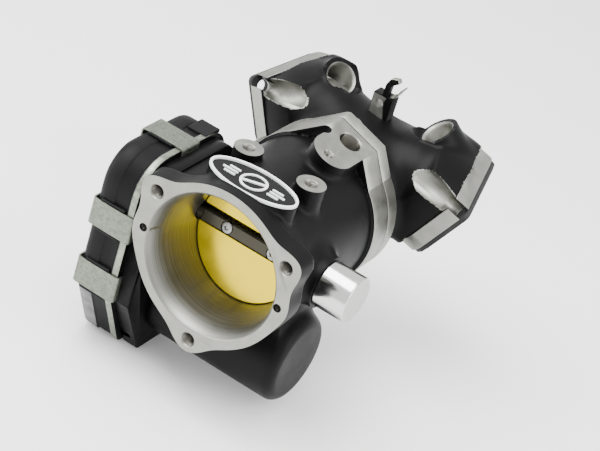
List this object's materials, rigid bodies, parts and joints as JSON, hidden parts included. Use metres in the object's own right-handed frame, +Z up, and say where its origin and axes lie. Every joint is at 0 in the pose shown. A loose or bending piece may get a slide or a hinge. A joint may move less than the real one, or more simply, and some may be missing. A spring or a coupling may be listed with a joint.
{
  "type": "electronic throttle body",
  "caption": "Electronic throttle body with a sprung plate in a tapered bore, geared motor drive in a clipped side case, and a forked intake manifold with injector seats.",
  "frame": {"origin": "middle of the underside of the whole assembly's box", "axes": "+Z up with the bore level, +X along the throttle shaft to its capped end, +Y down the bore from the inlet mouth to the manifold"},
  "size_m": [0.1402, 0.1744, 0.1442],
  "materials": {
    "black_body": "black anodised casting, satin, with bare machined faces",
    "polished": "polished, brushed end face",
    "brass": "bright",
    "shaft_steel": "ground",
    "steel": "plain",
    "zinc": "galvanised",
    "black_plastic": "moulded",
    "white_plastic": "moulded nylon",
    "rubber": "plain",
    "gasket": "flat",
    "board_green": "solder mask",
    "magnet": "sintered",
    "gold_pin": "plated",
    "ring_white": "painted"
  },
  "bodies": {
    "body": {"throttle_body": "black_body", "intake_manifold": "black_body", "manifold_o_ring": "rubber", "manifold_screw_1": "steel", "manifold_screw_2": "steel", "manifold_screw_3": "steel", "head_gasket_right": "gasket", "head_gasket_left": "gasket", "rail_spring_clip": "zinc", "badge_plate": "black_plastic", "badge_ring": "ring_white", "shaft_bearing_left": "steel", "shaft_seal_left": "rubber", "shaft_seal_right": "rubber", "shaft_bearing_right": "steel", "shaft_end_cap": "polished", "return_spring": "steel", "idler_pin": "steel", "motor_can": "steel", "motor_plate": "steel", "motor_screw_1": "steel", "motor_screw_2": "steel", "gear_cover": "black_plastic", "cover_seal": "rubber", "position_sensor_board": "board_green", "connector_shell": "black_plastic", "connector_pins": "gold_pin", "cover_clip_top": "zinc", "cover_clip_front_upper": "zinc", "cover_clip_front_lower": "zinc", "cover_clip_rear": "zinc"},
    "throttle": {"throttle_shaft": "shaft_steel", "throttle_plate": "brass", "plate_screw_left": "steel", "plate_screw_right": "steel", "sector_gear": "white_plastic", "sensor_magnet": "magnet"},
    "idler": {"idler_gear": "white_plastic"},
    "rotor": {"motor_armature": "steel", "motor_pinion": "brass"}
  },
  "joints": [
    {"name": "throttle_hinge", "type": "hinge", "parent": "body", "child": "throttle", "pos_m": [0, -0.04888, 0.0848], "axis": [-1, 0, 0], "range_deg": [0, 79], "stiffness_Nm_per_rad": 0.05, "springref_deg": -22.92},
    {"name": "idler_spin", "type": "hinge", "parent": "body", "child": "idler", "pos_m": [0, -0.05116, 0.05489], "axis": [-1, 0, 0], "range_deg": [-317, 1]},
    {"name": "motor_spin", "type": "hinge", "parent": "body", "child": "rotor", "pos_m": [0, -0.04023, 0.0302], "axis": [-1, 0, 0], "range_deg": [-1, 1107]}
  ],
  "couplings": [
    {"joint": "idler_spin", "follows": "throttle_hinge", "ratio": -4},
    {"joint": "motor_spin", "follows": "throttle_hinge", "ratio": 14}
  ]
}
